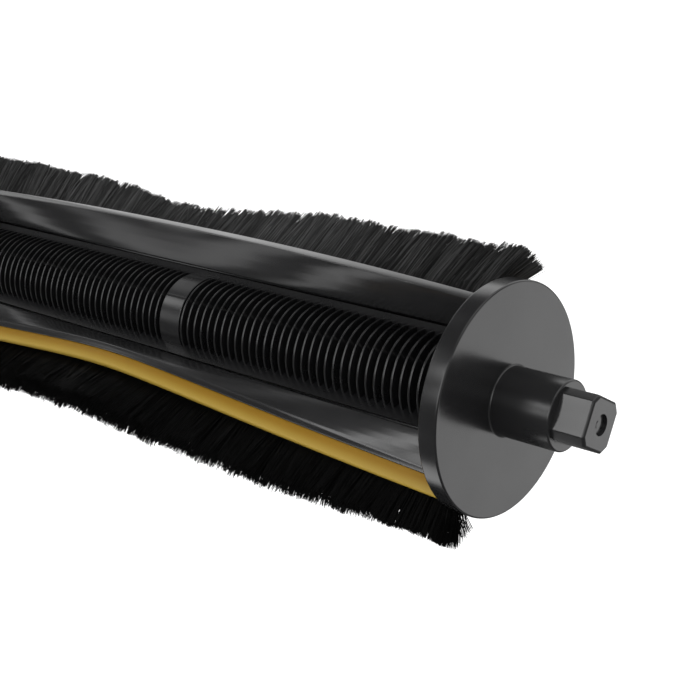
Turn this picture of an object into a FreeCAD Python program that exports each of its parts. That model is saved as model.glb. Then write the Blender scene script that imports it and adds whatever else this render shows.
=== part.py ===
import FreeCAD, Part
import os
import Sketcher

# Roller brush of a robot vacuum cleaner.
# The roller lies along X with its drive end towards +X.
# The origin is on the axis, where the drive square leaves its boss.
# Pieces of the roller are drawn about its middle, with the rib windows facing local +Y and -Y,
# and their Placement turns them to the angle shown and moves them along the axis.

doc = FreeCAD.newDocument("roller_brush")
sheet = doc.addObject("Spreadsheet::Sheet", "Sizes")

SIZES = {
    # Whole roller
    "face_to_face": 150.0,      # between the outer faces of the two end discs
    "roller_turn": 145.5,       # angle of the front rib window from +Y, about +X, degrees
    "end_gap": 0.1,             # between a disc and the ends of the long pieces
    "seat_gap": 0.05,           # between a piece and the seat it is glued or pressed in
    # End discs and drive end
    "disc_radius": 18.0,
    "disc_thickness": 3.15,
    "boss_radius": 5.35,
    "boss_length": 10.0,
    "square_flats": 7.66,       # across the flats of the drive square
    "square_corners": 9.2,      # across its cut corners
    "square_length": 5.35,
    "square_edge": 0.32,
    "square_turn": 7.3,         # of a flat from the rib window, degrees
    "dimple_radius": 1.6,
    "dimple_depth": 0.5,
    "key_thickness": 3.2,       # of the key that drives the core
    "key_width": 11.0,
    "key_length": 7.0,
    # Ribbed core
    "window_half": 57.0,        # half angle of a rib window, degrees
    "web_half": 3.0,            # from the axis to the floor between the ribs
    "rail_low": 10.0,           # radius of the rail beside the edge strip
    "rail_high": 9.0,           # radius of the rail beside the plain wall
    "rib_radius": 7.8,
    "rib_thickness": 0.42,
    "rib_pitch": 1.69,
    "rib_bite": 3.0,            # degrees that a rib runs into its rails
    "rib_facets": 4,            # flats along a rib's rim
    "collar_width": 4.5,
    "collar_gap": 1.15,         # between the collar and the next rib's middle
    "collar_offset": 8.0,       # of the collar from the roller's middle towards the drive end
    # Twisted wings
    "v_turn": 23.5,             # turn of the wings from the ends to the middle, degrees
    "v_round": 0.2,             # how round the V is at the middle, as a share of the half length
    "strip_wall_radius": 14.6,
    "strip_wall_lead": 15.2,    # of the wall's outer face ahead of the bristles, degrees
    "trough_floor": 10.6,       # from the axis, behind the bristles
    "trough_reach": 6.5,        # from the bristles' middle to the plain wall's root
    "root_half": 1.5,           # half width of the bristles' seat beside the strip wall
    "plain_wall_radius": 16.1,
    "plain_wall_lag": 49.5,     # of the wall's outer face behind the bristles, degrees
    "plain_wall_width": 1.8,
    # Edge strips
    "strip_height": 3.3,        # of a strip above its wall
    "strip_edge": 0.5,
    "strip_thickness": 1.3,
    # Bristle rows
    "bristle_end_radius": 22.8,
    "bristle_middle_radius": 24.2,
    "bristle_spread": 3.8,      # half width of a row at its tips
    "bristle_root": 0.75,       # half width of a row where it leaves its backing strip
    "backing_thickness": 1.3,
    # Idle end
    "pin_radius": 2.0,
    "pin_depth": 14.0,          # of the pin in the core
    "tenon_thickness": 2.6,     # of the two tenons that hold the idle disc in the core
    "tenon_width": 3.0,
    "tenon_length": 5.0,
    "tenon_reach": 5.3,
    "axial_play": 0.25,         # between the idle disc and its holder
    "run_gap": 0.04,            # radial, between the pin and its bush
    "bush_side": 7.0,           # of the square bush
    "bush_length": 6.0,
    "pin_clear": 0.6,           # between the pin's end and the holder's floor
    "holder_radius": 8.0,
    "holder_wall": 2.0,         # of its closed end
    "holder_flat": 1.4,         # depth of the flat that stops it turning
}

for row, (alias, size) in enumerate(SIZES.items(), start=1):
    sheet.set(f"A{row}", alias)
    sheet.set(f"B{row}", str(size))
    sheet.setAlias(f"B{row}", alias)
doc.recompute()


def sized(text):
    """The expression with every size read from the sheet."""
    out = ""
    word = ""
    for letter in text + " ":
        if letter.isalnum() or letter == "_":
            word += letter
            continue
        out += f"Sizes.{word}" if word in SIZES else word
        out += letter
        word = ""
    return out.strip()


def value(text):
    """The number that an expression of sizes gives."""
    return float(sheet.evalExpression(sized(text)))


def bind(item, prop, text):
    """Ties a property to an expression of sizes."""
    item.setExpression(prop, sized(text))


CORE_LENGTH = "(face_to_face - 2 * disc_thickness - 2 * end_gap)"
MIDDLE = "(-boss_length - face_to_face / 2)"
IDLE_FACE = "(-boss_length - face_to_face)"

LABELS = []
TOUCH = 1e-4  # mm, for telling edges apart


def new_body(label, along=None):
    """A body turned to the roller's angle, with its own origin at a place along the axis."""
    body = doc.addObject("PartDesign::Body", label)
    body.Label = label
    body.Placement = FreeCAD.Placement(FreeCAD.Vector(), FreeCAD.Rotation(FreeCAD.Vector(1, 0, 0), 1))
    bind(body, "Placement.Rotation.Angle", "roller_turn * 1 deg")
    if along:
        bind(body, "Placement.Base.x", f"{along} * 1 mm")
    LABELS.append(label)
    return body


def origin_part(body, role):
    """The origin plane or axis of a body that has this role."""
    return next(item for item in body.Origin.OriginFeatures if item.Role == role)


def new_sketch(body, name, role="YZ_Plane", along="0", turn="0"):
    """A sketch on an origin plane, moved along the plane's normal and turned in it."""
    sketch = body.newObject("Sketcher::SketchObject", name)
    sketch.AttachmentSupport = [(origin_part(body, role), "")]
    sketch.MapMode = "FlatFace"
    sketch.AttachmentOffset = FreeCAD.Placement(FreeCAD.Vector(), FreeCAD.Rotation(FreeCAD.Vector(0, 0, 1), 1))
    bind(sketch, "AttachmentOffset.Base.z", f"({along}) * 1 mm")
    bind(sketch, "AttachmentOffset.Rotation.Angle", f"({turn}) * 1 deg")
    return sketch


def pin_point(sketch, edge, end, point):
    """Holds one end of a sketch edge at the coordinates that two expressions give."""
    for kind, text in zip(("DistanceX", "DistanceY"), point):
        index = sketch.addConstraint(Sketcher.Constraint(kind, -1, 1, edge, end, value(text)))
        bind(sketch, f"Constraints[{index}]", text)


def draw_outline(sketch, points):
    """A closed outline of straight lines through points given as pairs of expressions."""
    spots = [FreeCAD.Vector(value(x), value(y), 0) for x, y in points]
    first = sketch.GeometryCount
    count = len(points)
    for n in range(count):
        sketch.addGeometry(Part.LineSegment(spots[n], spots[(n + 1) % count]), False)
    for n in range(count):
        following = first + (n + 1) % count
        sketch.addConstraint(Sketcher.Constraint("Coincident", first + n, 2, following, 1))
    for n in range(count):
        pin_point(sketch, first + n, 1, points[n])


def draw_circle(sketch, centre, radius):
    """A circle whose centre and radius are expressions of sizes."""
    middle = FreeCAD.Vector(value(centre[0]), value(centre[1]), 0)
    edge = sketch.addGeometry(Part.Circle(middle, FreeCAD.Vector(0, 0, 1), value(radius)), False)
    pin_point(sketch, edge, 3, centre)
    index = sketch.addConstraint(Sketcher.Constraint("Radius", edge, value(radius)))
    bind(sketch, f"Constraints[{index}]", radius)


def polar(radius, angle):
    """The pair of expressions for a point at a radius and an angle in degrees."""
    return f"({radius}) * cos({angle})", f"({radius}) * sin({angle})"


def pad(body, name, sketch, length, middle=False, back=False):
    """Raises a sketch by a length, both ways from its plane or backwards where asked."""
    feature = body.newObject("PartDesign::Pad", name)
    feature.Profile = sketch
    bind(feature, "Length", length)
    feature.SideType = "Symmetric" if middle else "One side"
    feature.Reversed = back
    doc.recompute()
    return feature


def pocket(body, name, sketch, depth, back=False):
    """Cuts a sketch into the body and makes sure that it took something away."""
    before = body.Shape.Volume
    feature = body.newObject("PartDesign::Pocket", name)
    feature.Profile = sketch
    bind(feature, "Length", depth)
    feature.Reversed = back
    doc.recompute()
    if body.Shape.Volume >= before:
        raise RuntimeError(f"{name} cuts nothing")
    return feature


def spin(body, name, points):
    """A solid of revolution about X from an outline of (x, radius) expressions."""
    sketch = new_sketch(body, f"{name}_outline", role="XY_Plane")
    draw_outline(sketch, points)
    feature = body.newObject("PartDesign::Revolution", name)
    feature.Profile = sketch
    feature.ReferenceAxis = (origin_part(body, "X_Axis"), [""])
    feature.Angle = 360
    doc.recompute()
    return feature


def rib_outline(sketch, side):
    """One rib window's outline: a flat root, two ends inside the rails and a rim of short flats."""
    reach = "(window_half + rib_bite)"
    root = f"({side} * (web_half - seat_gap))"
    facets = round(value("rib_facets"))
    rim = [
        polar(f"{side} * rib_radius", f"{reach} * (2 * {n} / {facets} - 1)")
        for n in range(facets + 1)
    ]
    draw_outline(sketch, rim + [(root, f"{root} * tan({reach})"), (root, f"-{root} * tan({reach})")])


def make_rib_core():
    """The core: a flat spine with four rails, fine ribs in its two windows and a middle collar."""
    body = new_body("rib_core", MIDDLE)
    spine = new_sketch(body, "spine_outline")
    corner = "(web_half / cos(window_half))"
    draw_outline(spine, [
        polar(corner, "window_half"),
        polar("rail_low", "window_half"),
        polar("rail_high", "180 - window_half"),
        polar(corner, "180 - window_half"),
        polar(corner, "180 + window_half"),
        polar("rail_low", "180 + window_half"),
        polar("rail_high", "360 - window_half"),
        polar(corner, "360 - window_half"),
    ])
    pad(body, "spine", spine, CORE_LENGTH, middle=True)

    collar = new_sketch(body, "collar_outline", along="collar_offset")
    for side in (1, -1):
        rib_outline(collar, side)
    pad(body, "collar", collar, "collar_width", middle=True)

    start = "(collar_width / 2 + collar_gap)"
    for name, way in (("drive", 1), ("idle", -1)):
        room = f"({CORE_LENGTH} / 2 - {way} * collar_offset - {start} - rib_pitch / 2)"
        sketch = new_sketch(body, f"{name}_rib_outline", along=f"collar_offset + {way} * {start}")
        for side in (1, -1):
            rib_outline(sketch, side)
        rib = pad(body, f"{name}_rib", sketch, "rib_thickness", middle=True)
        row = body.newObject("PartDesign::LinearPattern", f"{name}_ribs")
        row.Originals = [rib]
        row.Direction = (origin_part(body, "X_Axis"), [""])
        row.Reversed = way < 0
        bind(row, "Occurrences", f"floor({room} / rib_pitch) + 1")
        bind(row, "Length", f"floor({room} / rib_pitch) * rib_pitch")
        body.Tip = row
        doc.recompute()

    key = new_sketch(body, "key_seat_outline", along=f"{CORE_LENGTH} / 2")
    half_x = "(key_thickness / 2 + seat_gap)"
    half_y = "(key_width / 2 + seat_gap)"
    draw_outline(key, rectangle(half_x, half_y))
    pocket(body, "key_seat", key, "key_length + seat_gap - end_gap")

    seats = new_sketch(body, "pin_seat_outline", along=f"-{CORE_LENGTH} / 2")
    draw_circle(seats, ("0", "0"), "pin_radius + seat_gap")
    pocket(body, "pin_seat", seats, "pin_depth", back=True)
    tenons = new_sketch(body, "tenon_seat_outline", along=f"-{CORE_LENGTH} / 2")
    half_x = "(tenon_thickness / 2 + seat_gap)"
    half_y = "(tenon_width / 2 + seat_gap)"
    for way in (1, -1):
        draw_outline(tenons, rectangle(half_x, half_y, f"{way} * tenon_reach"))
    pocket(body, "tenon_seats", tenons, "tenon_length + seat_gap - end_gap", back=True)


def rectangle(half_x, half_y, up="0"):
    """The corners of a rectangle, centred on the axis or moved up from it."""
    return [
        (half_x, f"{up} + {half_y}"),
        (f"-{half_x}", f"{up} + {half_y}"),
        (f"-{half_x}", f"{up} - {half_y}"),
        (half_x, f"{up} - {half_y}"),
    ]


V_PLACES = (1, 0.7, 0.4, 0.1, -0.1, -0.4, -0.7, -1)  # of the sections, from the middle to the ends


def share_of_turn(place):
    """How much of the V's turn is reached at a place: all in the middle and none at the ends."""
    fall = f"(sqrt({place} * {place} + v_round^2) - v_round)"
    return f"(1 - {fall} / (sqrt(1 + v_round^2) - v_round))"


def twisted(label, section, base):
    """A long piece that turns from one end to the middle and back, as an open V seen from its side."""
    body = new_body(label, MIDDLE)
    sketches = []
    for number, place in enumerate(V_PLACES, start=1):
        share = share_of_turn(f"({place})")
        along = f"({place}) * {CORE_LENGTH} / 2"
        sketch = new_sketch(body, f"{label}_{number}", along=along, turn=f"{base} + 90 - v_turn * {share}")
        draw_outline(sketch, section(share))
        sketches.append(sketch)
    loft = body.newObject("PartDesign::AdditiveLoft", f"{label}_loft")
    loft.Profile = sketches[0]
    loft.Sections = sketches[1:]
    loft.Ruled = True
    doc.recompute()


STRIP_EDGE = "(strip_wall_radius * cos(strip_wall_lead))"
ROOT = "(trough_floor + seat_gap + backing_thickness)"


def wing_section(share):
    """A wing across its length, with u outwards along the bristles and v towards the plain wall."""
    width = "plain_wall_width / plain_wall_radius * 180 / pi"
    return [
        polar("rail_low", f"window_half - 90 + v_turn * {share}"),
        polar("strip_wall_radius", "-strip_wall_lead"),
        (STRIP_EDGE, "-root_half"),
        ("trough_floor", "-root_half"),
        ("trough_floor", "trough_reach"),
        polar("plain_wall_radius", f"plain_wall_lag - {width}"),
        polar("plain_wall_radius", "plain_wall_lag"),
        polar("rail_high", f"90 - window_half + v_turn * {share}"),
    ]


def strip_section(share):
    """An edge strip: a soft lip along the wall's edge, eased where it meets the floor."""
    front = "(-strip_wall_radius * sin(strip_wall_lead))"
    tip = f"({STRIP_EDGE} + strip_height)"
    return [
        (STRIP_EDGE, front),
        (f"{tip} - strip_edge", front),
        (tip, f"{front} + strip_edge"),
        (tip, f"{front} + strip_thickness"),
        (STRIP_EDGE, f"{front} + strip_thickness"),
    ]


def backing_section(share):
    """The backing strip that holds the bristles' roots on the trough's floor."""
    half = "(root_half - seat_gap)"
    low = "(trough_floor + seat_gap)"
    return [(ROOT, half), (ROOT, f"-{half}"), (low, f"-{half}"), (low, half)]


def bristle_section(share):
    """A bristle row: a narrow root on the backing strip, opening into a fan at the tips."""
    tip = f"(bristle_end_radius + {share} * (bristle_middle_radius - bristle_end_radius))"
    reach = f"sqrt({tip}^2 - bristle_spread^2)"
    return [
        (ROOT, "bristle_root"),
        (ROOT, "-bristle_root"),
        (reach, "-bristle_spread"),
        (reach, "bristle_spread"),
    ]


def square_outline(sketch):
    """The drive square with its four corners cut."""
    flat = "(square_flats / 2)"
    cut = "(square_corners / sqrt(2) - square_flats / 2)"
    draw_outline(sketch, [
        (flat, f"-{cut}"), (flat, cut), (cut, flat), (f"-{cut}", flat),
        (f"-{flat}", cut), (f"-{flat}", f"-{cut}"), (f"-{cut}", f"-{flat}"), (cut, f"-{flat}"),
    ])


def chamfer_end(body, name, base, place, size):
    """Eases the edges that lie wholly at one place along X."""
    names = []
    for number, edge in enumerate(base.Shape.Edges, start=1):
        box = edge.BoundBox
        if max(abs(box.XMin - place), abs(box.XMax - place)) < TOUCH:
            names.append(f"Edge{number}")
    feature = body.newObject("PartDesign::Chamfer", name)
    feature.Base = (base, names)
    bind(feature, "Size", size)
    doc.recompute()


def make_drive_end_cap():
    """The drive end: disc, boss and square moulded as one, with a flat key into the core."""
    body = new_body("drive_end_cap")
    spin(body, "disc_and_boss", [
        ("0", "0"),
        ("0", "boss_radius"),
        ("-boss_length", "boss_radius"),
        ("-boss_length", "disc_radius"),
        ("-boss_length - disc_thickness", "disc_radius"),
        ("-boss_length - disc_thickness", "0"),
    ])
    square = new_sketch(body, "square_outline", turn="square_turn")
    square_outline(square)
    tip = pad(body, "drive_square", square, "square_length")
    chamfer_end(body, "square_end", tip, value("square_length"), "square_edge")
    dimple = new_sketch(body, "dimple_outline", along="square_length")
    draw_circle(dimple, ("0", "0"), "dimple_radius")
    pocket(body, "dimple", dimple, "dimple_depth")
    key = new_sketch(body, "key_outline", along="-boss_length - disc_thickness")
    draw_outline(key, rectangle("(key_thickness / 2)", "(key_width / 2)"))
    pad(body, "key", key, "key_length", back=True)


def make_idle_end_cap():
    """The idle end: a matching plain disc, bored for the pin, with two tenons into the core."""
    body = new_body("idle_end_cap", IDLE_FACE)
    bore = "pin_radius + seat_gap"
    spin(body, "idle_disc", [
        ("0", bore),
        ("0", "disc_radius"),
        ("disc_thickness", "disc_radius"),
        ("disc_thickness", bore),
    ])
    tenons = new_sketch(body, "tenon_outline", along="disc_thickness")
    for way in (1, -1):
        draw_outline(tenons, rectangle("(tenon_thickness / 2)", "(tenon_width / 2)", f"{way} * tenon_reach"))
    pad(body, "tenons", tenons, "tenon_length")


BUSH_END = "(-axial_play - bush_length)"
HOLDER_END = f"({BUSH_END} - pin_clear - holder_wall)"


def make_axle_pin():
    """The steel pin that the idle end turns on."""
    body = new_body("axle_pin", IDLE_FACE)
    outline = new_sketch(body, "pin_outline", along=BUSH_END)
    draw_circle(outline, ("0", "0"), "pin_radius")
    pad(body, "pin", outline, f"disc_thickness + end_gap + pin_depth - seat_gap - {BUSH_END}")


def make_bearing_bush():
    """The square bush that runs on the pin."""
    body = new_body("bearing_bush", IDLE_FACE)
    outline = new_sketch(body, "bush_outline", along="-axial_play")
    draw_outline(outline, rectangle("(bush_side / 2)", "(bush_side / 2)"))
    draw_circle(outline, ("0", "0"), "pin_radius + run_gap")
    pad(body, "bush", outline, "bush_length", back=True)


def make_bearing_holder():
    """The cap that stays still in the machine while the roller turns in it."""
    body = new_body("bearing_holder", IDLE_FACE)
    outline = new_sketch(body, "holder_outline", along="-axial_play")
    draw_circle(outline, ("0", "0"), "holder_radius")
    pad(body, "holder", outline, f"-axial_play - {HOLDER_END}", back=True)
    seat = new_sketch(body, "bush_seat_outline", along="-axial_play")
    half = "(bush_side / 2 + seat_gap)"
    draw_outline(seat, rectangle(half, half))
    pocket(body, "bush_seat", seat, "bush_length + pin_clear")
    flat = new_sketch(body, "flat_outline", along="-axial_play")
    draw_outline(flat, [
        ("holder_radius - holder_flat", "-holder_radius"),
        ("holder_radius", "-holder_radius"),
        ("holder_radius", "holder_radius"),
        ("holder_radius - holder_flat", "holder_radius"),
    ])
    pocket(body, "flat", flat, f"-axial_play - {HOLDER_END}")


make_rib_core()
for letter, base in (("a", "0"), ("b", "180")):
    twisted(f"wing_{letter}", wing_section, base)
    twisted(f"edge_strip_{letter}", strip_section, base)
    twisted(f"bristle_backing_{letter}", backing_section, base)
    twisted(f"bristle_row_{letter}", bristle_section, base)
make_drive_end_cap()
make_idle_end_cap()
make_axle_pin()
make_bearing_bush()
make_bearing_holder()
doc.recompute()

for item in doc.Objects:
    if "Invalid" in item.State or "Error" in item.State:
        raise RuntimeError(f"{item.Name} failed: {item.State}")

os.makedirs("parts", exist_ok=True)
for label in LABELS:
    shape = doc.getObject(label).Shape
    if shape.isNull() or not shape.isValid():
        raise RuntimeError(f"{label} has no valid shape")
    shape.exportStep(f"parts/{label}.step")
    print(f"{label}: {len(shape.Solids)} solid, {shape.Volume:.1f} mm3")
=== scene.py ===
# %% [markdown]
# # A roller brush, dressed for a picture
#
# The main brush of a robot vacuum is a moulded spine between two twisted channels. Each channel holds
# a soft strip and a row of bristles. The imported CAD model gives the sizes and places, and this lesson
# dresses it: the channels get rounded edges, the bristle rows become strands, the ribs become round,
# and every surface gets a material made of nodes.
#
# The frame is that CAD model. It is loaded first, and the long pieces take their length from the box of
# one of its parts, because the dressed part has to stay the same size. All lengths below are in
# millimetres until they reach a mesh.

# %% Load the frame
import math

import bpy
import numpy as np
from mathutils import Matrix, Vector


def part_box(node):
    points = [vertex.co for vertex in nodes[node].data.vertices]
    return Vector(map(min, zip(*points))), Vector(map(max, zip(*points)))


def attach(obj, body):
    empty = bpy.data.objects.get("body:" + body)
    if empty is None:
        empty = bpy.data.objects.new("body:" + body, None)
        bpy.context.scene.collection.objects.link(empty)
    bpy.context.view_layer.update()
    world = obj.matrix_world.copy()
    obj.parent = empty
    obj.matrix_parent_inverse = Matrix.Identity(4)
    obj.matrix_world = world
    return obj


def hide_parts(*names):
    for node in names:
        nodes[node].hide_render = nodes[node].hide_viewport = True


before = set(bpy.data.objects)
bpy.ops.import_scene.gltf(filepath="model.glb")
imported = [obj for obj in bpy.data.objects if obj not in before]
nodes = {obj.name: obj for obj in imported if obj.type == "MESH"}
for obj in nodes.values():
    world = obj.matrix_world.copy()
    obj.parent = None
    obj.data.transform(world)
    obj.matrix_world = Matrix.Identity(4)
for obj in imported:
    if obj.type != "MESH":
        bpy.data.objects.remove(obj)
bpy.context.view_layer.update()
MM = 0.001
print("nodes in the frame:", len(nodes))

# %% [markdown]
# ## The roller's own measures
#
# The roller lies along X with its drive end towards +X. A section across it is drawn with `u` outwards
# along the bristles and `v` round towards the plain wall. The whole section turns as it runs along the
# roller, by nothing at the ends and by `V_TURN` degrees in the middle, so that the brush sweeps dirt
# inwards. A sharp V would show as a kink in the gloss, so its middle is slightly rounded. The turn is
# a formula and not a curve to follow, because every long piece needs it at the same places.

# %% Measures
low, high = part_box("wing_a")
START, END = low.x / MM, high.x / MM
MIDDLE = (START + END) / 2
HALF = (END - START) / 2
V_TURN = 23.5
V_ROUND = 0.2
BRISTLE_ANGLE = 235.5
BASES = {"a": 0.0, "b": 180.0}


def turn_at(x):
    """How far the section has turned at a place along the roller, in degrees."""
    t = np.abs(np.asarray(x, float) - MIDDLE) / HALF
    rise = (np.sqrt(t * t + V_ROUND**2) - V_ROUND) / (math.sqrt(1 + V_ROUND**2) - V_ROUND)
    return V_TURN * (1 - rise)


def in_space(x, u, v, base):
    """Points of the turned section as rows of x, y and z, in metres."""
    x, u, v = np.broadcast_arrays(np.asarray(x, float), u, v)
    angle = np.radians(BRISTLE_ANGLE + base - turn_at(x))
    y = u * np.cos(angle) - v * np.sin(angle)
    z = u * np.sin(angle) + v * np.cos(angle)
    return np.stack([x, y, z], -1) * MM


print(f"the long pieces run from {START:.1f} to {END:.1f} mm, with the V's middle at {MIDDLE:.1f}")

# %% [markdown]
# ## Small tools
#
# Every piece starts as a Blender primitive. An operator acts on all that is selected, so these helpers
# keep one object selected. They also apply modifiers, ease edges, set the shading, and hand a finished
# piece to the CAD body that carries it. A bevelled flat face would look pillowed, because its normals
# lean towards the bevel, so flat pieces get weighted normals.

# %% Object tools
SMOOTH_BELOW = 35


def only(piece):
    """Makes one object the active and only selected one."""
    bpy.ops.object.select_all(action="DESELECT")
    piece.select_set(True)
    bpy.context.view_layer.objects.active = piece


def modify(piece, kind, **settings):
    """Adds a modifier and applies it."""
    only(piece)
    modifier = piece.modifiers.new(kind.lower(), kind)
    for key, setting in settings.items():
        setattr(modifier, key, setting)
    bpy.ops.object.modifier_apply(modifier=modifier.name)


def copied(piece, count, step):
    """Repeats a mesh in a row along X, at a step in the mesh's own unit."""
    modify(piece, "ARRAY", count=count, use_relative_offset=False, use_constant_offset=True,
           constant_offset_displace=(step, 0, 0))


def ease(piece, width, segments=2, sharp=60):
    """Rounds the edges that bend by more than an angle."""
    modify(piece, "BEVEL", width=width * MM, segments=segments, limit_method="ANGLE",
           angle_limit=math.radians(sharp))


def joined(first, *others):
    """Joins other objects into the first."""
    only(first)
    for other in others:
        other.select_set(True)
    bpy.ops.object.join()
    return first


def settle(piece, name, angle=SMOOTH_BELOW, flat=False):
    """Puts the object's place into its mesh, turns its faces outwards and smooths or flattens them."""
    only(piece)
    piece.name = name
    bpy.ops.object.transform_apply(location=True, rotation=True, scale=True)
    bpy.ops.object.mode_set(mode="EDIT")
    bpy.ops.mesh.select_all(action="SELECT")
    bpy.ops.mesh.normals_make_consistent(inside=False)
    bpy.ops.object.mode_set(mode="OBJECT")
    bpy.ops.object.shade_smooth_by_angle(angle=math.radians(angle))
    if flat:
        modify(piece, "WEIGHTED_NORMAL", keep_sharp=True)
    return piece


def carry(piece, body, slot, *replaced):
    """Lets a piece ride on its body and stand for CAD nodes, which it hides. The slot is not used."""
    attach(piece, body)
    if replaced:
        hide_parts(*replaced)
    triangles = sum(len(face.vertices) - 2 for face in piece.data.polygons)
    print(f"{piece.name}: {triangles} triangles on {body}")


print("object tools ready")

# %% [markdown]
# ## Twisted pieces
#
# The channels and strips are long mouldings whose section changes along the way. A curve with a bevel
# object would sweep one section only, so a grid is used instead: its columns are rings of the section,
# placed one after the other, and its first and last rows meet and are merged. The end caps are filled.

# %% Twisted pieces
STATIONS = 121
CORNER_STEPS = 3
CORNER_SHARE = 0.45
MERGE = 1e-7


def points_of(piece):
    """The coordinates of a mesh as an array."""
    numbers = np.empty(len(piece.data.vertices) * 3)
    piece.data.vertices.foreach_get("co", numbers)
    return numbers.reshape(-1, 3)


def put_points(piece, points):
    """Writes coordinates back to a mesh."""
    piece.data.vertices.foreach_set("co", np.ascontiguousarray(points, float).ravel())
    piece.data.update()


def rounded(corners, radius):
    """A closed outline with each corner replaced by a short arc."""
    corners = np.asarray(corners, float)
    outline = []
    for n, corner in enumerate(corners):
        before = corners[n - 1] - corner
        after = corners[(n + 1) % len(corners)] - corner
        before_length, after_length = np.linalg.norm(before), np.linalg.norm(after)
        reach = min(radius, CORNER_SHARE * before_length, CORNER_SHARE * after_length)
        start = corner + before / before_length * reach
        stop = corner + after / after_length * reach
        for t in np.linspace(0, 1, CORNER_STEPS + 1):
            outline.append((1 - t) ** 2 * start + 2 * t * (1 - t) * corner + t**2 * stop)
    return np.array(outline)


def twisted(name, section, base, radius):
    """A long piece whose section is placed ring by ring on a wrapped grid."""
    xs = np.linspace(START, END, STATIONS)
    rings = [rounded(section(float(turn_at(x))), radius) for x in xs]
    count = len(rings[0])
    bpy.ops.mesh.primitive_grid_add(x_subdivisions=STATIONS - 1, y_subdivisions=count, size=1)
    piece = bpy.context.object
    grid = points_of(piece)
    along = np.rint((grid[:, 0] + 0.5) * (STATIONS - 1)).astype(int)
    around = np.rint((grid[:, 1] + 0.5) * count).astype(int) % count
    uv = np.array(rings)[along, around]
    put_points(piece, in_space(xs[along], uv[:, 0], uv[:, 1], base))
    only(piece)
    bpy.ops.object.mode_set(mode="EDIT")
    bpy.ops.mesh.select_all(action="SELECT")
    bpy.ops.mesh.remove_doubles(threshold=MERGE)
    bpy.ops.mesh.fill_holes(sides=0)
    bpy.ops.object.mode_set(mode="OBJECT")
    return settle(piece, name)


print("a twisted piece has", STATIONS, "rings")

# %% [markdown]
# ## The channels
#
# Each channel has a wall for the soft strip, a trough, and a plain thin wall. The feet of both walls
# stay on the straight rails of the core while their edges turn, so the outer faces are twisted. They
# also bow outwards a little, which draws soft streaks in the gloss. A low ridge runs along the strip's
# wall, and a thin lip above it holds the strip's foot. The plain wall's edge slopes outwards, and most
# in the middle. A narrow gap at both feet shows as a dark line along the rails. A flat twisted wall
# would be quicker, but then the gloss would show none of this.

# %% Channels
WINDOW = 57.0
RAIL_LOW, RAIL_HIGH = 10.0, 9.0
STRIP_WALL, STRIP_LEAD = 14.6, 15.2
PLAIN_WALL, PLAIN_LAG, PLAIN_WIDTH = 16.1, 49.5, 1.8
TROUGH_FLOOR, TROUGH_REACH, ROOT_HALF = 10.6, 6.5, 1.5
RIDGE_DROP, RIDGE_OUT, RIDGE_WIDTH = 0.55, 0.39, 0.45
LIP_COVER, LIP_THICK = 0.7, 0.28
EDGE_SLOPE, SLOPE_AT_ENDS = 0.6, 0.4
WALL_BOW = 0.12
BOW_PLACES = (0.25, 0.5, 0.75)
FOOT_GAP, FOOT_DEPTH = 0.45, 0.6
CHANNEL_CORNER = 0.16


def spot(radius, degrees):
    """A point of the section at a radius and an angle from the bristles."""
    return radius * math.cos(math.radians(degrees)), radius * math.sin(math.radians(degrees))


def bowed(start, stop):
    """Points between two others on a shallow parabola, out to the right of the way between them."""
    start, stop = np.array(start), np.array(stop)
    way = stop - start
    out = np.array([way[1], -way[0]]) / np.linalg.norm(way)
    return [start + way * t + out * WALL_BOW * 4 * t * (1 - t) for t in BOW_PLACES]


def foot(rail, edge, side):
    """Three points of the narrow gap between a wall's foot and the rail that it stands on."""
    rail, edge = np.array(rail), np.array(edge)
    up = (edge - rail) / np.linalg.norm(edge - rail)
    inside = rail + side * np.array([-up[1], up[0]]) * FOOT_DEPTH
    return [inside, inside + up * FOOT_GAP, rail + up * FOOT_GAP]


def channel(turn):
    """The section of a channel where the roller has turned so far."""
    edge, front = spot(STRIP_WALL, -STRIP_LEAD)
    low_rail = spot(RAIL_LOW, WINDOW - 90 + turn)
    high_rail = spot(RAIL_HIGH, 90 - WINDOW + turn)
    ridge = (edge - RIDGE_DROP, front - RIDGE_OUT)
    slope = EDGE_SLOPE * (SLOPE_AT_ENDS + (1 - SLOPE_AT_ENDS) * turn / V_TURN)
    brink = spot(PLAIN_WALL - slope, PLAIN_LAG)
    low_foot, high_foot = foot(low_rail, ridge, 1), foot(high_rail, brink, -1)
    return [
        *low_foot,
        *bowed(low_foot[2], ridge),
        ridge,
        (ridge[0] + RIDGE_WIDTH, front - LIP_THICK),
        (edge + LIP_COVER, front - LIP_THICK),
        (edge + LIP_COVER, front),
        (edge, front),
        (edge, -ROOT_HALF),
        (TROUGH_FLOOR, -ROOT_HALF),
        (TROUGH_FLOOR, TROUGH_REACH),
        spot(PLAIN_WALL, PLAIN_LAG - math.degrees(PLAIN_WIDTH / PLAIN_WALL)),
        brink,
        *bowed(brink, high_foot[2]),
        *high_foot[::-1],
    ]


for letter, base in BASES.items():
    piece = twisted(f"channel_{letter}", channel, base, CHANNEL_CORNER)
    carry(piece, "roller", "wing_plastic", f"wing_{letter}")

# %% [markdown]
# ## The soft strips
#
# A strip is a band of soft rubber that wipes the floor. It stands on its wall's edge, its front face
# carries on from the wall, and its tip is rounded. It could be a curve with a flat bevel, but made with
# the same rings as the channel, it stays seated in it all along.

# %% Strips
STRIP_HEIGHT, STRIP_THICK = 3.3, 1.3
STRIP_CORNER = 0.5


def strip(turn):
    """The section of a soft strip, which is the same at every turn."""
    edge, front = spot(STRIP_WALL, -STRIP_LEAD)
    tip = edge + STRIP_HEIGHT
    return [(edge, front), (tip, front), (tip, front + STRIP_THICK), (edge, front + STRIP_THICK)]


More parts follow.
